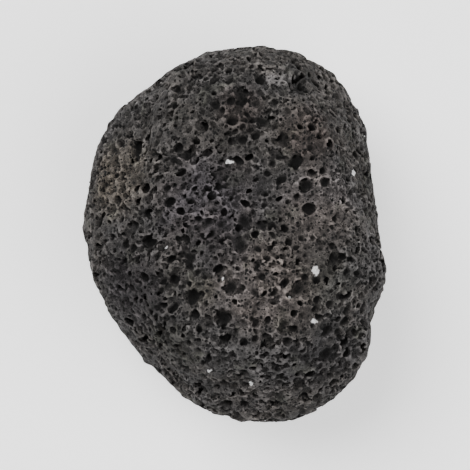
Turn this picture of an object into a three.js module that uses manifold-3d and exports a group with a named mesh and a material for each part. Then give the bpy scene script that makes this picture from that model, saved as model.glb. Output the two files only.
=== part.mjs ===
// Lava rock: one loose stone of black vesicular basalt (scoria), broken from a flow, full of gas
// bubbles and worn round by tumbling. It is a single solid: the gas vesicles are hollows in it.
//
// Millimetres, +Z up. The stone lies on its worn flat face at z = 0, its long way is along Y, and
// the origin is under the middle of its box.

import * as THREE from 'three';
import { mergeVertices } from 'three/addons/utils/BufferGeometryUtils.js';
import Module from 'manifold-3d';

const wasm = await Module();
wasm.setup();

// ---- Driving dimensions -------------------------------------------------------------------------

const LENGTH = 80; // along Y
const WIDTH = 64; // along X, as the outline's radii give it at this length
const CROWN = 27; // from the girdle, where the stone is widest, up to the top
const KEEL = 26; // from the girdle down to the lowest point before the resting face is worn
const REST_WORN = 2.6; // how much of the keel the resting face has lost
const BODY_DETAIL = 11; // splits along each edge of the icosahedron that the body starts from
const WELD = 1e-4; // points closer than this are one point

// The outline from above at the girdle: its radius every 15 degrees, anticlockwise from +X.
const OUTLINE_RADII = [
  30.0, 30.2, 32.6, 37.2, 40.5, 41.6, 40.2, 38.8,
  36.6, 37.1, 34.9, 33.0, 31.8, 31.3, 31.1, 31.6,
  32.9, 35.6, 38.5, 40.2, 39.6, 37.4, 33.0, 32.6,
];
const OUTLINE_LENGTH = 79.1; // how long the body comes out with the radii as written

// How full the section is above and below the girdle: 1 is an ellipse, smaller is squarer.
const CROWN_FULLNESS = 0.78;
const KEEL_FULLNESS = 0.82;
const GIRDLE_TILT = 2.5; // how far the girdle rises towards +X and falls towards -X

// Worn faces: each presses the body flat beyond `reach` from the middle, along `facing`.
// `soft` is the width of the rounding at its border, small where the edge is still an arris.
const WORN_FACES = [
  { name: 'broad top', facing: [-0.06, 0.1, 1], reach: 24.0, soft: 1.6 },
  { name: 'upper left shoulder', facing: [-0.62, 0.3, 0.72], reach: 28.4, soft: 1.8 },
  { name: 'right flank', facing: [0.88, 0.3, 0.36], reach: 31.4, soft: 0.6 },
  { name: 'upper right chamfer', facing: [0.58, 0.62, 0.52], reach: 36.4, soft: 0.8 },
  { name: 'lower right slope', facing: [0.42, -0.55, 0.72], reach: 33.4, soft: 1.6 },
  { name: 'foot slope', facing: [0, -0.8, 0.6], reach: 34.4, soft: 1.4 },
  { name: 'lower left bevel', facing: [-0.66, -0.6, 0.45], reach: 29.6, soft: 0.7 },
  { name: 'foot underside', facing: [0.1, -0.9, -0.42], reach: 36.4, soft: 1.2 },
  { name: 'left underside', facing: [-0.7, 0.1, -0.7], reach: 29.4, soft: 1.2 },
  { name: 'right underside', facing: [0.62, -0.35, -0.7], reach: 29.4, soft: 1.2 },
  { name: 'head underside', facing: [0.2, 0.75, -0.62], reach: 34.2, soft: 1.4 },
];

// Broad swells left by the flow: the wave's run in each axis (radians per mm), phase and height.
// They fade out at the girdle, whose outline has them already.
const SWELLS = [
  { run: [0.105, 0.062, 0.071], phase: 0.4, height: 0.75 },
  { run: [-0.071, 0.118, 0.093], phase: 2.1, height: 0.65 },
  { run: [0.172, -0.139, 0.128], phase: 4.4, height: 0.4 },
  { run: [0.231, 0.198, -0.223], phase: 1.3, height: 0.28 },
];

// The large vesicles that open on the crown. `at` is their place from above, `radius` their size,
// `stretch` their length over their width, `turn` the direction of the length in degrees from +X,
// and `sink` how deep the centre lies under the surface, in radii.
const CROWN_VESICLES = [
  { at: [-18.3, -0.2], radius: 1.9, stretch: 1.1, turn: 60, sink: 0.55 },
  { at: [-16.6, -4.0], radius: 1.0, stretch: 1.7, turn: -25, sink: 0.4 },
  { at: [-12.3, -3.7], radius: 1.0, stretch: 1.0, turn: 0, sink: 0.5 },
  { at: [-10.7, -0.2], radius: 1.4, stretch: 1.2, turn: 80, sink: 0.25 },
  { at: [-9.8, -3.7], radius: 1.3, stretch: 1.2, turn: 20, sink: 0.2 },
  { at: [-20.2, 7.8], radius: 1.2, stretch: 1.0, turn: 0, sink: 0.4 },
  { at: [-18.4, 10.7], radius: 1.6, stretch: 1.1, turn: 10, sink: 0.2 },
  { at: [-7.0, 23.2], radius: 1.7, stretch: 1.2, turn: -40, sink: 0.1 },
  { at: [-5.9, 17.9], radius: 1.6, stretch: 1.1, turn: 30, sink: 0.3 },
  { at: [-9.5, 17.7], radius: 1.3, stretch: 1.3, turn: 0, sink: 0.3 },
  { at: [-17.1, 17.3], radius: 1.2, stretch: 1.2, turn: 70, sink: 0.3 },
  { at: [0.9, 30.2], radius: 1.5, stretch: 1.1, turn: 60, sink: 0.4 },
  { at: [5.2, 24.5], radius: 1.5, stretch: 1.6, turn: -15, sink: 0.4 },
  { at: [9.6, 20.9], radius: 1.1, stretch: 1.2, turn: 40, sink: 0.4 },
  { at: [12.4, 16.4], radius: 1.2, stretch: 1.2, turn: 20, sink: 0.4 },
  { at: [8.5, 17.4], radius: 1.1, stretch: 1.2, turn: -45, sink: 0.3 },
  { at: [14.1, 11.1], radius: 1.4, stretch: 1.1, turn: 45, sink: 0.25 },
  { at: [14.9, 6.5], radius: 1.2, stretch: 1.2, turn: 15, sink: 0.5 },
  { at: [1.8, 3.7], radius: 1.4, stretch: 1.3, turn: -60, sink: 0.3 },
  { at: [5.2, 3.2], radius: 1.0, stretch: 1.2, turn: 0, sink: 0.4 },
  { at: [0.4, -0.8], radius: 1.6, stretch: 1.3, turn: -70, sink: 0.25 },
  { at: [13.0, -9.7], radius: 1.9, stretch: 1.5, turn: 35, sink: 0.05 },
  { at: [20.4, -4.3], radius: 1.8, stretch: 1.2, turn: 60, sink: 0.05 },
  { at: [-9.2, -11.7], radius: 1.5, stretch: 1.1, turn: 80, sink: 0.45 },
  { at: [-1.3, -9.9], radius: 1.5, stretch: 1.3, turn: -75, sink: 0.4 },
  { at: [-2.9, -16.0], radius: 1.7, stretch: 1.0, turn: 0, sink: 0.3 },
  { at: [-2.8, -20.9], radius: 1.4, stretch: 1.1, turn: 60, sink: 0.3 },
  { at: [6.9, -21.4], radius: 1.5, stretch: 1.0, turn: 0, sink: 0.45 },
  { at: [8.8, -23.8], radius: 1.4, stretch: 1.2, turn: 30, sink: 0.45 },
  { at: [19.1, -24.1], radius: 1.6, stretch: 1.1, turn: 70, sink: 0.3 },
  { at: [13.2, 32.7], radius: 2.9, stretch: 1.2, turn: 80, sink: -0.35 }, // smooth shallow dimple
  { at: [7.3, 35.3], radius: 1.1, stretch: 3.2, turn: -4, sink: 0.2 }, // crease behind the lip
];

// The other large vesicles, scattered evenly over the flanks and the underside.
const FLANK_VESICLES = 36;
const FLANK_RADIUS = [1.1, 2.2]; // smallest and largest
const FLANK_STRETCH = 1.6; // the most that one's length is over its width
const FLANK_SINK = 0.4; // the deepest that a centre lies under the surface, in radii
const FLANK_TOP = 0.5; // sine of the elevation over which the crown's own list takes over
const REST_CLEAR = 9; // no vesicle opens this close to the origin on the resting face
const REST_FACING = -0.9; // a surface whose normal has less Z than this belongs to that face
const SEED = 20;

const BASALT = new THREE.MeshStandardMaterial({ color: '#474443', roughness: 0.95, metalness: 0 });

// ---- Body -----------------------------------------------------------------------------------------

const GOLDEN_ANGLE = Math.PI * (3 - Math.sqrt(5));

// The girdle's outline, one closed smooth curve.
function girdleCurve() {
  const points = OUTLINE_RADII.map((radius, i) => {
    const angle = (i / OUTLINE_RADII.length) * 2 * Math.PI;
    return new THREE.Vector3(radius * Math.cos(angle), radius * Math.sin(angle), 0);
  });
  return new THREE.CatmullRomCurve3(points, true, 'catmullrom', 0.5);
}
const girdle = girdleCurve();

// The body's surface in a direction from the middle, before wear: the outline drawn in towards
// the top and the bottom by a squared-off elliptical section.
function unwornPoint(direction) {
  const turn = Math.atan2(direction.y, direction.x) / (2 * Math.PI);
  const rise = THREE.MathUtils.clamp(direction.z, -1, 1);
  const fullness = rise > 0 ? CROWN_FULLNESS : KEEL_FULLNESS;
  const drawIn = Math.pow(Math.sqrt(1 - rise * rise), fullness);
  const height = (rise > 0 ? CROWN : KEEL) * Math.sign(rise) * Math.pow(Math.abs(rise), fullness);
  const point = girdle.getPoint((turn + 1) % 1).multiplyScalar(drawIn);
  point.z = height + (GIRDLE_TILT * point.x) / (WIDTH / 2);
  return point;
}

// Zero below zero and x above it, with the corner between them rounded.
function easedRamp(x) {
  return Math.max(x, 0) + Math.log1p(Math.exp(-Math.abs(x)));
}

// How far a point stands beyond a worn face, eased to zero over the face's soft border.
function standsProud(point, face) {
  const facing = new THREE.Vector3(...face.facing).normalize();
  const beyond = (point.dot(facing) - face.reach) / face.soft;
  return facing.multiplyScalar(easedRamp(beyond) * face.soft);
}

function wornPoint(direction) {
  const point = unwornPoint(direction);
  for (const face of WORN_FACES) point.sub(standsProud(point, face));
  let swell = 0;
  for (const { run, phase, height } of SWELLS) {
    swell += height * Math.sin(point.dot(new THREE.Vector3(...run)) + phase);
  }
  return point.addScaledVector(direction, swell * Math.abs(direction.z));
}

function bodyGeometry() {
  const geometry = new THREE.IcosahedronGeometry(1, BODY_DETAIL);
  geometry.deleteAttribute('normal');
  geometry.deleteAttribute('uv');
  const merged = mergeVertices(geometry, WELD);
  const position = merged.getAttribute('position');
  const vertex = new THREE.Vector3();
  for (let i = 0; i < position.count; i++) {
    vertex.fromBufferAttribute(position, i).normalize();
    position.setXYZ(i, ...wornPoint(vertex));
  }
  const scale = LENGTH / OUTLINE_LENGTH;
  return merged.scale(scale, scale, scale);
}

// ---- Solids ---------------------------------------------------------------------------------------

function solidOf(geometry) {
  const bare = geometry.clone();
  bare.deleteAttribute('normal');
  bare.deleteAttribute('uv');
  const merged = mergeVertices(bare, WELD);
  return new wasm.Manifold(
    new wasm.Mesh({
      numProp: 3,
      vertProperties: new Float32Array(merged.getAttribute('position').array),
      triVerts: new Uint32Array(merged.index.array),
    }),
  );
}

function geometryOf(solid) {
  const { vertProperties, triVerts } = solid.getMesh();
  const geometry = new THREE.BufferGeometry();
  geometry.setAttribute('position', new THREE.BufferAttribute(vertProperties, 3));
  geometry.setIndex(new THREE.BufferAttribute(triVerts, 1));
  geometry.computeVertexNormals();
  return geometry;
}

// ---- Vesicles -------------------------------------------------------------------------------------

// A bubble with a slightly uneven wall, its length along X before it is turned.
function vesicleSolid(centre, radius, stretch, spin) {
  const geometry = new THREE.IcosahedronGeometry(radius, 1);
  const longer = Math.sqrt(stretch);
  geometry.scale(longer, 1 / longer, 1);
  geometry.applyMatrix4(new THREE.Matrix4().makeRotationFromQuaternion(spin));
  geometry.translate(centre.x, centre.y, centre.z);
  return solidOf(geometry);
}

// Where a straight line from outside first meets the body, and the surface's normal there.
function surfaceHit(bodyMesh, from, towards) {
  const ray = new THREE.Raycaster(from, towards.clone().normalize());
  const [hit] = ray.intersectObject(bodyMesh);
  return { point: hit.point, normal: hit.face.normal };
}

function crownVesicles(bodyMesh) {
  const above = 2 * CROWN;
  const down = new THREE.Vector3(0, 0, -1);
  return CROWN_VESICLES.map(({ at, radius, stretch, turn, sink }) => {
    const { point, normal } = surfaceHit(bodyMesh, new THREE.Vector3(...at, above), down);
    const centre = point.addScaledVector(normal, -sink * radius);
    const spin = new THREE.Quaternion().setFromAxisAngle(
      new THREE.Vector3(0, 0, 1),
      THREE.MathUtils.degToRad(turn),
    );
    return vesicleSolid(centre, radius, stretch, spin);
  });
}

// A repeatable stream of numbers from 0 to 1.
function stream(seed) {
  let state = seed;
  return () => {
    state = (Math.imul(state, 1664525) + 1013904223) >>> 0;
    return state / 2 ** 32;
  };
}

function flankVesicles(bodyMesh) {
  const next = stream(SEED);
  const solids = [];
  for (let i = 0; i < FLANK_VESICLES; i++) {
    const rise = FLANK_TOP - ((i + 0.5) / FLANK_VESICLES) * (1 + FLANK_TOP);
    const around = i * GOLDEN_ANGLE;
    const across = Math.sqrt(1 - rise * rise);
    const outward = new THREE.Vector3(across * Math.cos(around), across * Math.sin(around), rise);
    const [smallest, largest] = FLANK_RADIUS;
    const radius = smallest + (largest - smallest) * next() ** 2;
    const stretch = 1 + (FLANK_STRETCH - 1) * next();
    const turns = new THREE.Euler(Math.PI * next(), Math.PI * next(), Math.PI * next());
    const spin = new THREE.Quaternion().setFromEuler(turns);
    const from = outward.clone().multiplyScalar(LENGTH);
    const { point, normal } = surfaceHit(bodyMesh, from, outward.clone().negate());
    const centre = point.addScaledVector(normal, -FLANK_SINK * radius * next());
    const nearOrigin = Math.hypot(centre.x, centre.y) < REST_CLEAR + radius;
    const onRest = normal.z < REST_FACING;
    if (!(onRest && nearOrigin)) solids.push(vesicleSolid(centre, radius, stretch, spin));
  }
  return solids;
}

// ---- The stone ------------------------------------------------------------------------------------

// The body above the worn resting face.
function restedBody() {
  const keep = 4 * LENGTH;
  const above = new THREE.BoxGeometry(keep, keep, keep);
  above.translate(0, 0, keep / 2 - KEEL + REST_WORN);
  return solidOf(bodyGeometry()).intersect(solidOf(above));
}

function lavaRock() {
  const body = restedBody();
  const bodyMesh = new THREE.Mesh(geometryOf(body));
  const vesicles = [...crownVesicles(bodyMesh), ...flankVesicles(bodyMesh)];
  const stone = geometryOf(vesicles.reduce((rest, vesicle) => rest.subtract(vesicle), body));
  stone.computeBoundingBox();
  const { min, max } = stone.boundingBox;
  stone.translate(-(min.x + max.x) / 2, -(min.y + max.y) / 2, -min.z);
  const mesh = new THREE.Mesh(stone, BASALT);
  mesh.name = 'lava_rock';
  return mesh;
}

const stoneGroup = new THREE.Group();
stoneGroup.add(lavaRock());

export default stoneGroup;
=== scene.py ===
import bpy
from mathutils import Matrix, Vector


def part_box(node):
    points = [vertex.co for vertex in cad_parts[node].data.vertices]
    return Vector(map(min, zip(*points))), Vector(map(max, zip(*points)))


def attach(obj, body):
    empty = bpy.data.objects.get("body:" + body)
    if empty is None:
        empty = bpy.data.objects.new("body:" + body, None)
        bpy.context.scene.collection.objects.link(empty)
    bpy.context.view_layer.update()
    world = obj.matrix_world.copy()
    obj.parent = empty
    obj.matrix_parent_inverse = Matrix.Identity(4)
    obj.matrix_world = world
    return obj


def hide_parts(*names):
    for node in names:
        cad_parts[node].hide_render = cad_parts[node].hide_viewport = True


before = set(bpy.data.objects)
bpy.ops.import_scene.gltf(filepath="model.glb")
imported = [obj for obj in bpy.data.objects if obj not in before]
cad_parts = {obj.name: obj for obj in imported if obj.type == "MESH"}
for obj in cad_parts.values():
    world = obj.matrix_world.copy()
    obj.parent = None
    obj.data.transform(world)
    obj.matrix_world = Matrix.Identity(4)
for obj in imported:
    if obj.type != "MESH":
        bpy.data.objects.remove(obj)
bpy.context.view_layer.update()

# A loose lava rock, seen from straight above on a pale floor.
#
# The stone is cut as a volume. Its imported solid becomes a field of distances, gas bubbles of all
# sizes are packed into the layer under its skin, and the rock left between them is meshed again.
# The mesh remembers how deep and how exposed each point is; the material pales the exposed rims as
# wear and darkens the deep, closed-in hollows with painted shade.

import math
from collections import namedtuple

import bmesh
import bpy
import numpy as np
import openvdb as vdb
from mathutils import Vector

NODE = "lava_rock"
SEED = 23
MM = 0.001  # lengths in the stone's own part of the script are in millimetres

# ---- The stone's sizes ----------------------------------------------------------------------------

WELD = 0.001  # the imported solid's points closer than this are one point
STEP = 0.26  # between neighbouring voxels
REACH = 4.0  # how far from the surface distances are known
MARGIN = 8  # voxels of air kept round the stone
MOST_TRIANGLES = 196000  # in the finished stone

# Uneven skin: the size of the lumps and how high they stand.
SKIN_LUMPS = [(9.0, 0.45), (3.6, 0.36), (1.5, 0.24)]
# Uneven bubble walls, in the same form.
WALL_LUMPS = [(2.2, 0.24), (1.0, 0.18), (0.55, 0.07)]
RIM_ROUNDING = 0.14  # how far wear has rounded the rims of the bubbles
RIM_WINDOW = 0.7  # a point is a rim if little of this much round it is rock
OPEN_WINDOW = 2.2  # a point is exposed if little of this much round it is rock
DIMPLE = 6.0  # hollows narrower than this are pits in the stone and no part of its shape
WHOLE_BELOW = 0.7  # bubbles this deep under the stone's shape keep their walls whole
MARKED_SLANT = 0.35  # the most by which a marked bubble is slanted
WALL_REACH = 1.0  # how far past its wall a bubble's distances are needed
MAP_GAP = 0.6  # between the sides on the stone's flat map
REST_LIFT = 0.02  # the worn underside's clearance from the floor

# Bubbles, largest first. Each opens on the skin: its centre lies from `proud` radii above it to
# `deep` radii below it, and at least `crowding` radii from the wall of every bubble already there.
# `stretch` is the most by which a bubble is slanted, and twice the most by which it is squashed.
Family = namedtuple("Family", "smallest largest tries deep proud crowding stretch")
FAMILIES = [
    Family(1.00, 1.30, 150, 0.7, 0.4, 1.05, 0.60),
    Family(0.75, 1.10, 4500, 0.9, 0.4, 0.95, 0.60),
    Family(0.50, 0.75, 40000, 0.9, 0.3, 0.88, 0.55),
    Family(0.34, 0.50, 90000, 0.8, 0.2, 0.85, 0.45),
]

# Bubbles of middling size that stand out on the crown: a place seen from above, the radius and how
# deep the centre lies under the skin, in radii. They come before the families.
Marked = namedtuple("Marked", "at radius sink")
MARKED = [
    Marked((-4.2, 27.0), 1.10, 0.3),
    Marked((-0.6, 23.5), 1.30, 0.1),
    Marked((4.0, 27.3), 1.25, 0.1),
    Marked((5.2, 32.3), 1.30, 0.1),
    Marked((-12.8, 15.7), 0.90, 0.4),
    Marked((-20.1, 18.7), 1.10, 0.3),
    Marked((-13.5, 6.7), 1.20, 0.3),
    Marked((-11.1, 4.6), 1.15, 0.3),
    Marked((-18.4, -8.5), 1.20, 0.3),
    Marked((-6.8, -12.2), 0.90, 0.4),
    Marked((-8.3, -16.4), 1.10, 0.3),
    Marked((18.4, 10.9), 1.10, 0.3),
    Marked((13.6, 22.2), 0.95, 0.6),
    Marked((6.4, -4.8), 0.80, 0.5),
    Marked((12.0, -15.8), 0.90, 0.6),
    Marked((17.4, -16.8), 0.95, 0.5),
    Marked((16.8, -13.2), 0.95, 0.3),
    Marked((10.6, -21.8), 1.00, 0.4),
    Marked((19.0, -19.9), 1.25, 0.3),
    Marked((21.6, -20.4), 1.15, 0.3),
    Marked((16.2, -26.4), 1.25, 0.3),
    Marked((20.6, -28.0), 1.05, 0.3),
    Marked((12.8, -28.4), 1.15, 0.3),
    Marked((9.4, -30.6), 1.05, 0.3),
    Marked((5.6, -28.8), 0.95, 0.4),
    Marked((2.3, -31.2), 0.95, 0.4),
]

# Where the bubbles grew larger or stayed smaller: a place on the stone, how far it spreads and by
# how much the radius is multiplied there.
Patch = namedtuple("Patch", "centre spread factor")
COARSER = [
    Patch((18.0, -24.0, 38.0), 12.0, 1.45),
    Patch((20.0, 4.0, 44.0), 7.0, 0.62),
    Patch((4.0, -38.0, 26.0), 14.0, 1.35),
    Patch((-24.0, -22.0, 28.0), 14.0, 1.35),
    Patch((-30.0, 12.0, 24.0), 15.0, 1.25),
    Patch((0.0, 38.0, 28.0), 12.0, 1.20),
    Patch((28.0, 18.0, 20.0), 14.0, 1.25),
    Patch((10.0, 0.0, 4.0), 22.0, 1.20),
]


# ---- The stone's volume ---------------------------------------------------------------------------

Volume = namedtuple("Volume", "corner distance")


def welded(node):
    """The node's points, in millimetres, and triangles, as one closed surface."""
    surface = bmesh.new()
    surface.from_mesh(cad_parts[node].data)
    bmesh.ops.remove_doubles(surface, verts=surface.verts, dist=WELD * MM)
    bmesh.ops.triangulate(surface, faces=surface.faces)
    points = np.array([v.co for v in surface.verts], np.float32) / MM
    triangles = np.array([[v.index for v in f.verts] for f in surface.faces], np.uint32)
    surface.free()
    return points, triangles


def body_volume(node):
    """Distances from the node's surface over a box of voxels, negative inside it."""
    points, triangles = welded(node)
    grid = vdb.FloatGrid.createLevelSetFromPolygons(
        points,
        triangles=triangles,
        transform=vdb.createLinearTransform(voxelSize=STEP),
        halfWidth=REACH / STEP,
    )
    corner = np.floor(points.min(0) / STEP).astype(int) - MARGIN
    opposite = np.ceil(points.max(0) / STEP).astype(int) + MARGIN
    distance = np.empty(tuple(opposite - corner), np.float32)
    grid.copyToArray(distance, ijk=tuple(int(n) for n in corner))
    return Volume(corner, distance)


def blurred(field, across):
    """The field's mean over a box `across` millimetres wide, taken twice to round the box."""
    half = max(1, round(across / STEP / 2))
    wide = 2 * half + 1
    for axis in [0, 1, 2, 0, 1, 2]:
        beyond = [(half + 1, half) if n == axis else (0, 0) for n in range(3)]
        total = np.cumsum(np.pad(field, beyond, mode="edge"), axis=axis, dtype=np.float64)
        first = np.arange(field.shape[axis])
        within = np.take(total, first + wide, axis) - np.take(total, first, axis)
        field = (within / wide).astype(np.float32)
    return field


def lumps(shape, across, rng):
    """Smooth noise from -1 to 1 over a box of voxels, with lumps `across` millimetres wide."""
    cell = across / STEP
    field = rng.uniform(-1, 1, [int(n / cell) + 3 for n in shape]).astype(np.float32)
    for axis, count in enumerate(shape):
        at = np.arange(count) / cell
        low = at.astype(int)
        part = (at - low).astype(np.float32)
        part = part * part * (3 - 2 * part)
        part = part.reshape([-1 if n == axis else 1 for n in range(3)])
        before = np.take(field, low, axis)
        field = before + (np.take(field, low + 1, axis) - before) * part
    return field


def uneven(field, layers, rng):
    """The field with lumps of each layer's width and height added."""
    for across, height in layers:
        field = field + height * lumps(field.shape, across, rng)
    return field


def coarseness(places):
    """How many times its usual size a bubble has at each place."""
    factor = np.ones(len(places))
    for patch in COARSER:
        away = np.linalg.norm(places - np.array(patch.centre), axis=1) / patch.spread
        factor *= 1 + (patch.factor - 1) * np.exp(-away * away)
    return factor


def stamp(foam, centre, radius, shear, squash):
    """Adds one slanted, squashed bubble to the distances from the nearest bubble's wall."""
    half = int((radius + WALL_REACH) / STEP) + 1
    window = []
    offsets = []
    for axis in range(3):
        middle = int(centre[axis])
        low = max(middle - half, 0)
        high = min(middle + half + 1, foam.shape[axis])
        window.append(slice(low, high))
        offset = (np.arange(low, high, dtype=np.float32) - centre[axis]) * STEP
        offsets.append(offset.reshape([-1 if n == axis else 1 for n in range(3)]))
    x, y, z = offsets
    x = x + shear[0] * y
    y = y + shear[1] * z
    z = z * squash
    wall = np.sqrt(x * x + y * y + z * z) - radius
    block = foam[tuple(window)]
    np.minimum(block, wall, out=block)


def outward(field, places):
    """The direction in which the field grows at each place, given as whole voxels."""
    slope = np.empty((len(places), 3))
    for axis in range(3):
        step = np.eye(3, dtype=int)[axis]
        slope[:, axis] = field[tuple((places + step).T)] - field[tuple((places - step).T)]
    return slope / np.linalg.norm(slope, axis=1, keepdims=True)


def top_voxels(volume, places):
    """The highest voxel of rock at each X and Y."""
    columns = (np.round(np.array(places) / STEP) - volume.corner[:2]).astype(int)
    return np.array([[*c, np.flatnonzero(volume.distance[tuple(c)] < 0).max()] for c in columns])


def blown(volume, shape, rng):
    """Distances from the nearest bubble's wall, positive in the rock between the bubbles."""
    body = volume.distance
    foam = np.full(body.shape, REACH, np.float32)
    tops = top_voxels(volume, [marked.at for marked in MARKED])
    for marked, top, way in zip(MARKED, tops, outward(shape, tops)):
        centre = top - way * marked.sink * marked.radius / STEP
        stamp(foam, centre, marked.radius, rng.uniform(-MARKED_SLANT, MARKED_SLANT, 2), 1.0)
    skin = np.argwhere((np.abs(body) < STEP / 2) & (shape > -WHOLE_BELOW))
    for family in FAMILIES:
        picks = skin[rng.integers(len(skin), size=family.tries)]
        span = family.largest - family.smallest
        radii = family.smallest + span * rng.random(family.tries) ** 2
        radii *= coarseness((picks + volume.corner) * STEP)
        rise = radii * rng.uniform(-family.deep, family.proud, family.tries) / STEP
        centres = picks + outward(body, picks) * rise[:, None] + rng.random((family.tries, 3)) - 0.5
        shears = rng.uniform(-family.stretch, family.stretch, (family.tries, 2))
        squashes = rng.uniform(1 - family.stretch / 2, 1 + family.stretch / 2, family.tries)
        for centre, radius, shear, squash in zip(centres, radii, shears, squashes):
            if foam[tuple(centre.astype(int))] >= family.crowding * radius:
                stamp(foam, centre, radius, shear, squash)
    return foam


def carved(rock, hollow, rounding):
    """The rock with the hollows cut out of it and the edges between them rounded."""
    cut = np.maximum(rock, -hollow)
    near = np.maximum(rounding - np.abs(rock + hollow), 0) / rounding
    return cut + near * near * rounding / 4


def stone_volume():
    """The stone's volume, and the same box's distances from the stone's shape without its pits."""
    rng = np.random.default_rng(SEED)
    body = body_volume(NODE)
    shape = blurred(body.distance, DIMPLE)
    foam = uneven(blown(body, shape, rng), WALL_LUMPS, rng)
    skin = uneven(body.distance, SKIN_LUMPS, rng)
    height = (np.arange(skin.shape[2], dtype=np.float32) + body.corner[2]) * STEP
    rested = np.maximum(skin, REST_LIFT - height)
    return Volume(body.corner, carved(rested, foam, RIM_ROUNDING)), shape


# ---- The stone's mesh -----------------------------------------------------------------------------


def largest_piece(points, quads):
    """Drops crumbs that float free and hollows that never reach the surface."""
    ends = np.concatenate([quads[:, [n, (n + 1) % 4]] for n in range(4)])
    ends = np.concatenate([ends, ends[:, ::-1]])
    ends = ends[ends[:, 0].argsort()]
    starts = np.flatnonzero(np.diff(ends[:, 0], prepend=-1))
    label = np.arange(len(points))
    changed = True
    while changed:
        lowest = np.minimum(label, np.minimum.reduceat(label[ends[:, 1]], starts))
        lowest = lowest[lowest[lowest]]
        changed = not np.array_equal(lowest, label)
        label = lowest
    names, counts = np.unique(label, return_counts=True)
    kept = label == names[counts.argmax()]
    number = np.cumsum(kept) - 1
    return points[kept], number[quads[kept[quads[:, 0]]]]


def new_mesh(name, points, faces):
    """A mesh of points, in millimetres, and faces that all have the same number of corners."""
    mesh = bpy.data.meshes.new(name)
    mesh.vertices.add(len(points))
    mesh.vertices.foreach_set("co", (points * MM).astype(np.float32).ravel())
    mesh.loops.add(faces.size)
    mesh.loops.foreach_set("vertex_index", faces.astype(np.int32).ravel())
    mesh.polygons.add(len(faces))
    mesh.polygons.foreach_set("loop_start", np.arange(0, faces.size, faces.shape[1], dtype=np.int32))
    mesh.polygons.foreach_set("use_smooth", np.ones(len(faces), bool))
    mesh.update(calc_edges=True)
    mesh.validate()
    return mesh


def skinned(volume):
    """The points and quads of the surface where the volume's distance is zero."""
    band = 2 * STEP
    grid = vdb.FloatGrid(background=band)
    grid.transform = vdb.createLinearTransform(voxelSize=STEP)
    near = np.clip(volume.distance, -band, band).astype(np.float32)
    grid.copyFromArray(near, ijk=tuple(int(n) for n in volume.corner))
    points, quads = grid.convertToQuads(0.0)
    return largest_piece(points, quads.astype(np.int64))


def thinned(points, quads, most):
    """The surface with its flatter stretches in larger triangles, `most` at most."""
    mesh = new_mesh("fine", points, quads)
    fine = bpy.data.objects.new("fine", mesh)
    bpy.context.scene.collection.objects.link(fine)
    decimate = fine.modifiers.new("fewer", "DECIMATE")
    decimate.ratio = min(1.0, most / (2 * len(mesh.polygons)))
    decimate.use_collapse_triangulate = True
    evaluated = fine.evaluated_get(bpy.context.evaluated_depsgraph_get())
    result = bpy.data.meshes.new_from_object(evaluated)
    points = np.empty(len(result.vertices) * 3, np.float32)
    result.vertices.foreach_get("co", points)
    corners = np.empty(len(result.loops), np.int32)
    result.loops.foreach_get("vertex_index", corners)
    bpy.data.objects.remove(fine)
    bpy.data.meshes.remove(mesh)
    bpy.data.meshes.remove(result)
    return points.reshape(-1, 3) / MM, corners.reshape(-1, 3)


def sampled(field, corner, points):
    """The field's value at each point, in millimetres, between the voxels round it."""
    at = points / STEP - corner
    low = np.clip(np.floor(at).astype(int), 0, np.array(field.shape) - 2)
    part = at - low
    value = np.zeros(len(points))
    for step in np.ndindex(2, 2, 2):
        share = np.prod(np.where(step, part, 1 - part), axis=1)
        value += share * field[tuple((low + step).T)]
    return value


def remember(mesh, name, values):
    """Stores a value for each of the mesh's points, which the material reads by name."""
    attribute = mesh.attributes.new(name, "FLOAT", "POINT")
    attribute.data.foreach_set("value", values.astype(np.float32))


def map_from_six_sides(mesh, corners, facing):
    """A flat map of the stone: each side as seen square on, with the sides laid next to each other.

    `corners` are the places of each triangle's corners, and `facing` is the way that the stone's
    shape faces there.
    """
    axes = np.abs(facing).argmax(1)
    ahead = np.take_along_axis(facing, axes[:, None], 1)[:, 0] > 0
    flat = np.zeros((len(corners), 3, 2))
    top = 0.0
    widest = 0.0
    for axis in range(3):
        others = [n for n in range(3) if n != axis]
        left = 0.0
        tallest = 0.0
        for side in (False, True):
            chart = (axes == axis) & (ahead == side)
            seen = corners[chart][:, :, others]
            low = seen.min((0, 1))
            width, height = seen.max((0, 1)) - low + MAP_GAP
            flat[chart] = seen - low + (left, top)
            left += width
            tallest = max(tallest, height)
        top += tallest
        widest = max(widest, left)
    layer = mesh.uv_layers.new(name="OFBake")
    layer.data.foreach_set("uv", (flat / max(top, widest)).astype(np.float32).ravel())


def lava_stone():
    stone, shape = stone_volume()
    points, triangles = thinned(*skinned(stone), MOST_TRIANGLES)
    # The outermost triangles come last, so that they win on the map where others lie under them.
    middles = points[triangles].mean(1)
    triangles = triangles[sampled(shape, stone.corner, middles).argsort(kind="stable")]
    mesh = new_mesh("lava_stone", points, triangles)
    corners = points[triangles]
    places = np.round(corners.mean(1) / STEP).astype(int) - stone.corner
    map_from_six_sides(mesh, corners, outward(shape, places))
    solid = np.clip(0.5 - stone.distance / STEP, 0, 1)
    # Depth and exposure: the material paints shade into the deep, closed-in hollows by these, and
    # pales the rims by the rim value.
    remember(mesh, "depth", -sampled(shape, stone.corner, points))
    remember(mesh, "rim", 1 - 2 * sampled(blurred(solid, RIM_WINDOW), stone.corner, points))
    remember(mesh, "open", 1 - sampled(blurred(solid, OPEN_WINDOW), stone.corner, points))
    piece = bpy.data.objects.new("lava_stone", mesh)
    bpy.context.scene.collection.objects.link(piece)
    return piece
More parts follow.
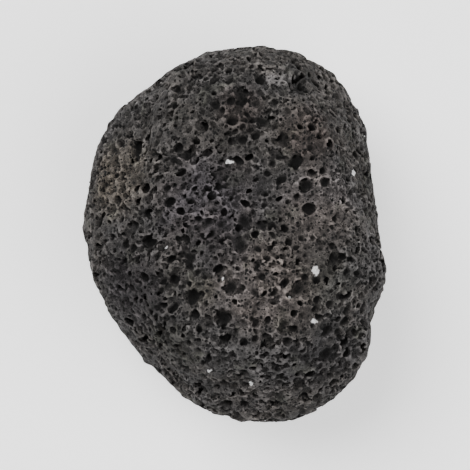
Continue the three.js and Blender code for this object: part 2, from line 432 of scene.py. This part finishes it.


# ---- Materials ------------------------------------------------------------------------------------

# Where the crown's colour drifts: a place seen from above, how far the drift spreads, and what the
# colour is multiplied by in its middle. Only part of it is the stone's own colour: the darker
# patches at the lower left and along the lower edge are painted shade, and the paler patch at the
# upper left is painted light, as from a light at the upper left.
Tint = namedtuple("Tint", "at spread colour")
TINTS_AND_PAINTED_LIGHT = [
    Tint((6, -11), 12, (1.83, 1.71, 1.66)),
    Tint((17, 6), 10, (1.78, 1.69, 1.68)),
    Tint((15, 21), 8, (0.94, 0.85, 0.83)),
    Tint((1, 26), 6, (1.04, 0.95, 0.94)),
    Tint((9, 24), 6, (1.30, 1.30, 1.27)),
    Tint((-9, 28), 6, (0.88, 0.88, 0.87)),
    Tint((-24, 12), 11, (1.50, 1.40, 1.22)),
    Tint((-6, 6), 13, (1.04, 1.0, 1.09)),
    Tint((-7, -11), 4, (1.02, 1.02, 0.92)),
    Tint((-21, -12), 12, (0.52, 0.50, 0.53)),
    Tint((-13, -22), 8, (0.63, 0.64, 0.59)),
    Tint((17, -26), 11, (0.78, 0.78, 0.80)),
    Tint((20, -10), 7, (0.98, 1.01, 0.97)),
    Tint((4, -34), 7, (1.15, 1.13, 1.13)),
    Tint((24.5, 20), 5, (0.70, 0.70, 0.68)),
    Tint((27, 11), 5, (0.66, 0.66, 0.64)),
    Tint((8.5, 33), 3.5, (1.9, 1.9, 1.9)),
    Tint((13, 32.5), 3.5, (0.5, 0.5, 0.5)),
]

# Grains of pale mineral on the crown: a place seen from above and the size along X and Y.
Grain = namedtuple("Grain", "at size")
GRAIN_DEPTH = 1.2  # how far each reaches into the stone
HIGH_UP = 1.0  # a height, in metres, from which the crown is looked for
GRAINS = [
    Grain((16.4, -7.3), (1.8, 2.5)),
    Grain((-2.3, -8.9), (0.8, 0.7)),
    Grain((-5.3, -28.0), (0.7, 0.8)),
    Grain((3.4, -30.8), (0.8, 1.2)),
    Grain((16.2, -17.6), (1.3, 1.1)),
    Grain((11.2, -12.9), (0.8, 0.8)),
    Grain((24.6, 12.9), (0.7, 2.0)),
    Grain((-14.1, -2.5), (0.6, 0.6)),
    Grain((-1.2, 15.0), (2.0, 0.7)),
]


def grey(level, warmth=0.0):
    """A grey of this brightness, turned a little towards brown, or towards blue if negative."""
    return (level * (1 + warmth), level, level * (1 - warmth), 1.0)


# The rock's colours.
ROCK_DARK = grey(0.015, 0.03)
ROCK_PALE = grey(0.053, 0.04)
WORN_RIM = grey(0.105, 0.04)
# Painted shade: the near black put inside the bubbles, where shade falls.
SMALL_PIT_SHADE = grey(0.004, 0.03)
DEEP_PIT_SHADE = grey(0.002, 0.05)
MINERAL_DULL = grey(0.30, 0.01)
MINERAL_BRIGHT = grey(0.75, 0.01)
# What they are multiplied by from place to place: a random mottle between painted shade and painted
# light, then drifting hues.
PAINTED_SHADE_MOTTLE = grey(0.56)
PAINTED_LIGHT_MOTTLE = grey(1.42)
BROWNISH = (1.05, 0.99, 0.96, 1)
MAUVISH = (1.01, 0.985, 1.01, 1)
OLIVE = (1.01, 1.02, 0.94, 1)


class Nodes:
    """A material's node tree, with a short call for each kind of node."""

    def __init__(self, name):
        self.material = bpy.data.materials.new(name)
        self.material.use_nodes = True
        self.tree = self.material.node_tree
        self.shader = self.tree.nodes["Principled BSDF"]

    def add(self, kind, inputs=(), **settings):
        node = self.tree.nodes.new("ShaderNode" + kind)
        for key, value in settings.items():
            setattr(node, key, value)
        for socket, value in dict(inputs).items():
            self.set(node.inputs[socket], value)
        return node

    def set(self, socket, value):
        if isinstance(value, bpy.types.NodeSocket):
            self.tree.links.new(value, socket)
        else:
            socket.default_value = value

    def finish(self, **inputs):
        """Sets the shader's own inputs, given by name with _ for a space."""
        for name, value in inputs.items():
            self.set(self.shader.inputs[name.replace("_", " ")], value)
        return self.material

    def math(self, operation, *values):
        return self.add("Math", enumerate(values), operation=operation).outputs[0]

    def vector(self, operation, *values):
        return self.add("VectorMath", enumerate(values), operation=operation).outputs[0]

    def mix(self, share, first, second, blend="MIX"):
        node = self.add("Mix", data_type="RGBA", blend_type=blend, clamp_result=False)
        # The node has sockets for every data type, and these are the ones for colours.
        share_socket, first_socket, second_socket, colour_socket = 0, 6, 7, 2
        self.set(node.inputs[share_socket], share)
        self.set(node.inputs[first_socket], first)
        self.set(node.inputs[second_socket], second)
        return node.outputs[colour_socket]

    def multiplied(self, first, second):
        return self.mix(1.0, first, second, "MULTIPLY")

    def ramp(self, value, none, full):
        """0 where the value is `none`, 1 where it is `full`, and a smooth change between them."""
        inputs = {"Value": value, "From Min": none, "From Max": full}
        return self.add("MapRange", inputs, interpolation_type="SMOOTHSTEP").outputs[0]

    def attribute(self, name):
        return self.add("Attribute", attribute_name=name).outputs["Fac"]


class StoneNodes(Nodes):
    """The stone's node tree, which works in millimetres on the stone."""

    def __init__(self, name):
        super().__init__(name)
        where = self.add("TexCoord").outputs["Object"]
        self.place = self.vector("MULTIPLY", where, (1 / MM,) * 3)

    def noise(self, per_mm, detail=4.0, roughness=0.6, offset=0.0):
        vector = self.vector("ADD", self.place, (offset,) * 3)
        inputs = {"Vector": vector, "Scale": per_mm, "Detail": detail, "Roughness": roughness}
        return self.add("TexNoise", inputs).outputs["Fac"]

    def jolted(self, per_mm, far):
        """The place on the stone, jolted `far` millimetres by noise."""
        inputs = {"Vector": self.place, "Scale": per_mm, "Detail": 3.0}
        jolt = self.add("TexNoise", inputs).outputs["Color"]
        middle = self.vector("SUBTRACT", jolt, (0.5,) * 3)
        return self.vector("MULTIPLY_ADD", middle, (2 * far,) * 3, self.place)

    def away(self, place, centre, size):
        """How far a place is from a centre, in multiples of the size."""
        offset = self.vector("SUBTRACT", place, centre)
        shrunk = self.vector("DIVIDE", offset, size)
        return self.add("VectorMath", {0: shrunk}, operation="LENGTH").outputs["Value"]

    def small_bubbles(self, per_mm, largest):
        """How deep in a bubble too small for the mesh, and how near such a bubble's rim."""
        place = self.jolted(per_mm, far=0.3 / per_mm)
        cells = self.add("TexVoronoi", {"Vector": place, "Scale": per_mm})
        chance = self.add("SeparateColor", {0: cells.outputs["Color"]}).outputs[0]
        smallest = 0.3 * largest
        radius = self.math("MULTIPLY_ADD", chance, largest - smallest, smallest)
        inward = self.math("SUBTRACT", radius, cells.outputs["Distance"])
        inside = self.ramp(inward, none=0.0, full=largest * 0.35)
        from_rim = self.math("ABSOLUTE", self.math("ADD", inward, 0.05))
        return inside, self.ramp(from_rim, none=0.10, full=0.0)


def met_from_above(piece, at):
    """Where the piece is first met, in millimetres, going straight down at X and Y."""
    above = Vector((at[0] * MM, at[1] * MM, HIGH_UP))
    _, point, _, _ = piece.ray_cast(above, Vector((0, 0, -1)))
    return tuple(point / MM)


def weathered(n, grain, small_rims):
    """Dark grainy rock, paler where a rim is worn, mottled with painted light and shade, in drifting
    hues.
    """
    colour = n.mix(n.ramp(grain, none=0.36, full=0.76), ROCK_DARK, ROCK_PALE)
    patchy = n.ramp(n.noise(per_mm=0.8, offset=40.0), none=0.35, full=0.65)
    small_rims = n.math("MULTIPLY", small_rims, patchy)
    rims = n.math("MAXIMUM", n.ramp(n.attribute("rim"), none=0.05, full=0.5), small_rims)
    unevenly = n.ramp(n.noise(per_mm=1.1, offset=20.0), none=0.25, full=0.65)
    colour = n.mix(n.math("MULTIPLY", rims, unevenly), colour, WORN_RIM)
    # A random mottle of painted shade and painted light over the rock.
    sunlit_share = n.ramp(n.noise(per_mm=0.3, roughness=0.62), none=0.34, full=0.66)
    colour = n.multiplied(colour, n.mix(sunlit_share, PAINTED_SHADE_MOTTLE, PAINTED_LIGHT_MOTTLE))
    wide = n.ramp(n.noise(per_mm=0.07, detail=3.0, offset=60.0), none=0.4, full=0.6)
    narrow = n.ramp(n.noise(per_mm=0.16, detail=3.0, offset=80.0), none=0.55, full=0.7)
    return n.multiplied(colour, n.mix(narrow, n.mix(wide, BROWNISH, MAUVISH), OLIVE))


def tinted_with_painted_light(n, colour, crown):
    """The colour, drifting from tint to tint over the crown, with painted shade and painted light
    among the tints.
    """
    drifting = n.jolted(per_mm=0.3, far=1.5)
    # Some tints are painted shade, darker low on the crown, and painted light, paler at its upper
    # left.
    for tint in TINTS_AND_PAINTED_LIGHT:
        distance = n.away(drifting, met_from_above(crown, tint.at), (tint.spread,) * 3)
        share = n.ramp(distance, none=1.15, full=0.35)
        colour = n.mix(share, colour, n.multiplied(colour, (*tint.colour, 1)))
    return colour


def shaded_in_pits(n, colour, small_pits):
    """The colour with painted shade, nearly black down in the bubbles where shade falls."""
    # Painted shade in the bubbles too small for the mesh, then in every hollow that is deep and
    # every one that is closed in.
    colour = n.mix(small_pits, colour, SMALL_PIT_SHADE)
    deep = n.ramp(n.attribute("depth"), none=0.4, full=1.2)
    closed_in = n.ramp(n.attribute("open"), none=0.48, full=0.30)
    pit_shade = n.math("MAXIMUM", deep, closed_in)
    return n.mix(n.math("MULTIPLY", pit_shade, 0.95), colour, DEEP_PIT_SHADE)


def speckled(n, colour, grain, crown):
    """The colour with the grains of pale mineral."""
    crumbled = n.jolted(per_mm=1.6, far=0.6)
    mineral = n.mix(n.ramp(grain, none=0.35, full=0.6), MINERAL_DULL, MINERAL_BRIGHT)
    for spot in GRAINS:
        half = (spot.size[0] / 2, spot.size[1] / 2, GRAIN_DEPTH)
        distance = n.away(crumbled, met_from_above(crown, spot.at), half)
        colour = n.mix(n.ramp(distance, none=1.05, full=0.8), colour, mineral)
    return colour


def roughened(n, small_pits):
    """The way the surface faces, with the roughness that is too fine for the mesh."""
    rough = n.math("MULTIPLY", n.noise(per_mm=2.0, detail=5.0, roughness=0.8), 0.5)
    height = n.math("MULTIPLY_ADD", small_pits, -0.35, rough)
    return n.add("Bump", {"Strength": 1.0, "Distance": 1.0 * MM, "Height": height}).outputs[0]


def scoria(crown):
    """The stone's material; `crown` is the piece whose top carries the tints, with their painted
    light and shade, and the grains.
    """
    n = StoneNodes("scoria")
    fine_pits, fine_rims = n.small_bubbles(per_mm=1.25, largest=0.55)
    finer_pits, finer_rims = n.small_bubbles(per_mm=2.3, largest=0.5)
    small_pits = n.math("MAXIMUM", fine_pits, n.math("MULTIPLY", finer_pits, 0.7))
    small_rims = n.math("MAXIMUM", fine_rims, n.math("MULTIPLY", finer_rims, 0.6))
    grain = n.noise(per_mm=2.2, detail=5.0, roughness=0.75)
    colour = weathered(n, grain, small_rims)
    colour = tinted_with_painted_light(n, colour, crown)
    colour = shaded_in_pits(n, colour, small_pits)
    colour = speckled(n, colour, grain, crown)
    return n.finish(
        Base_Color=colour,
        Roughness=0.92,
        Specular_IOR_Level=0.2,
        Normal=roughened(n, small_pits),
    )


def pale_floor():
    return Nodes("pale_floor").finish(
        Base_Color=grey(0.85),
        Roughness=0.9,
        Specular_IOR_Level=0.1,
        Emission_Color=grey(1.0),
        Emission_Strength=FLOOR_GLOW,
    )


# ---- Stage ----------------------------------------------------------------------------------------

FLOOR_FLAT = 1.5  # radius of the floor's level middle
FLOOR_EDGE = 6.0
FLOOR_RISE = 1.2  # how high its edge stands
FLOOR_RINGS = 24
FLOOR_SIDES = 96
LENS = 0.200  # focal length
SENSOR = 0.036
FILL = 0.80  # the share of the picture's height that the stone's length takes
SKY = 0.45
FLOOR_GLOW = 0.5  # the floor is a light table, which thins the shadow
# Soft lamps too far off to fade across the floor: the side they shine from, strength and how wide
# they look from the stone, in degrees.
LAMPS = [
    ((-0.5, 0.5, 1.0), 4.8, 40),
    ((0.7, -0.35, 0.9), 3.0, 60),
]


def floor():
    """A round floor whose edge curves up, so that no horizon shows behind the stone."""
    points = []
    faces = [range(FLOOR_SIDES)]
    for ring in range(FLOOR_RINGS + 1):
        along = ring / FLOOR_RINGS
        radius = FLOOR_FLAT + along * (FLOOR_EDGE - FLOOR_FLAT)
        for side in range(FLOOR_SIDES):
            turn = 2 * math.pi * side / FLOOR_SIDES
            points.append((radius * math.cos(turn), radius * math.sin(turn), FLOOR_RISE * along**2))
            if ring:
                here = ring * FLOOR_SIDES + side
                after = ring * FLOOR_SIDES + (side + 1) % FLOOR_SIDES
                faces.append((here - FLOOR_SIDES, here, after, after - FLOOR_SIDES))
    mesh = bpy.data.meshes.new("floor")
    mesh.from_pydata(points, [], faces)
    mesh.polygons.foreach_set("use_smooth", np.ones(len(faces), bool))
    mesh.materials.append(pale_floor())
    piece = bpy.data.objects.new("floor", mesh)
    bpy.context.scene.collection.objects.link(piece)


def lamps():
    for number, (side, strength, wide) in enumerate(LAMPS):
        data = bpy.data.lights.new(f"lamp_{number}", "SUN")
        data.energy = strength
        data.angle = math.radians(wide)
        lamp = bpy.data.objects.new(data.name, data)
        lamp.rotation_euler = Vector(side).to_track_quat("Z", "Y").to_euler()
        bpy.context.scene.collection.objects.link(lamp)


def sky():
    world = bpy.data.worlds.new("sky")
    world.use_nodes = True
    background = world.node_tree.nodes["Background"]
    background.inputs["Color"].default_value = (1, 1, 1, 1)
    background.inputs["Strength"].default_value = SKY
    bpy.context.scene.world = world


def camera(low, high):
    data = bpy.data.cameras.new("camera")
    data.lens = LENS / MM
    data.sensor_width = SENSOR / MM
    seen = (high.y - low.y) / FILL
    middle = (low + high) / 2
    distance = seen * LENS / SENSOR
    view = bpy.data.objects.new("camera", data)
    view.location = (middle.x, middle.y, middle.z + distance)
    bpy.context.scene.collection.objects.link(view)
    bpy.context.scene.camera = view


low, high = (Vector(corner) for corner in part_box(NODE))
camera(low, high)
sky()
lamps()
floor()

stone = lava_stone()
stone.data.materials.append(scoria(stone))
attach(stone, "root")
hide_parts(NODE)
